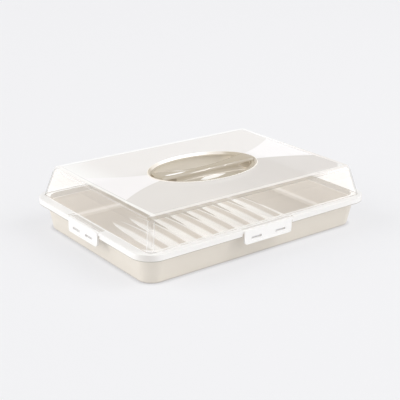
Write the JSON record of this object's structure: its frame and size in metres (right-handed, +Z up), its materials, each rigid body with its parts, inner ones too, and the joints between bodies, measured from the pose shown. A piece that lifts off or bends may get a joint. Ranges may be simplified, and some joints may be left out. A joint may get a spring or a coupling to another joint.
{
  "type": "cake container",
  "caption": "Rectangular cake container: ribbed tray, clear domed lid with frosted top, recessed oval handle and swing latches on its sides.",
  "frame": {"origin": "middle of the closed container on the plane that its foot ring stands on", "axes": "+X along the long side, +Y towards the back long side, +Z up"},
  "size_m": [0.4556, 0.3196, 0.102],
  "materials": {
    "tray_plastic": "glossy beige",
    "clear_plastic": "clear and polished, with a frosted panel on the top",
    "handle_plastic": "glossy beige",
    "latch_plastic": "satin white"
  },
  "bodies": {
    "base": {"base_tray": "tray_plastic"},
    "lid": {"lid_shell": "clear_plastic", "handle": "handle_plastic"},
    "latch_front": {"latch_front": "latch_plastic"},
    "latch_back": {"latch_back": "latch_plastic"},
    "latch_left": {"latch_left": "latch_plastic"},
    "latch_right": {"latch_right": "latch_plastic"}
  },
  "joints": [
    {"name": "lid_lift", "type": "slide", "parent": "base", "child": "lid", "axis": [0, 0, 1], "range_m": [0, 0.06]},
    {"name": "latch_front_swing", "type": "hinge", "parent": "lid", "child": "latch_front", "pos_m": [0, -0.1545, 0.0496], "axis": [-1, 0, 0], "range_deg": [-5, 110]},
    {"name": "latch_back_swing", "type": "hinge", "parent": "lid", "child": "latch_back", "pos_m": [0, 0.1545, 0.0496], "axis": [1, 0, 0], "range_deg": [-5, 110]},
    {"name": "latch_left_swing", "type": "hinge", "parent": "lid", "child": "latch_left", "pos_m": [-0.2225, 0, 0.0496], "axis": [0, 1, 0], "range_deg": [-5, 110]},
    {"name": "latch_right_swing", "type": "hinge", "parent": "lid", "child": "latch_right", "pos_m": [0.2225, 0, 0.0496], "axis": [0, -1, 0], "range_deg": [-5, 110]}
  ]
}
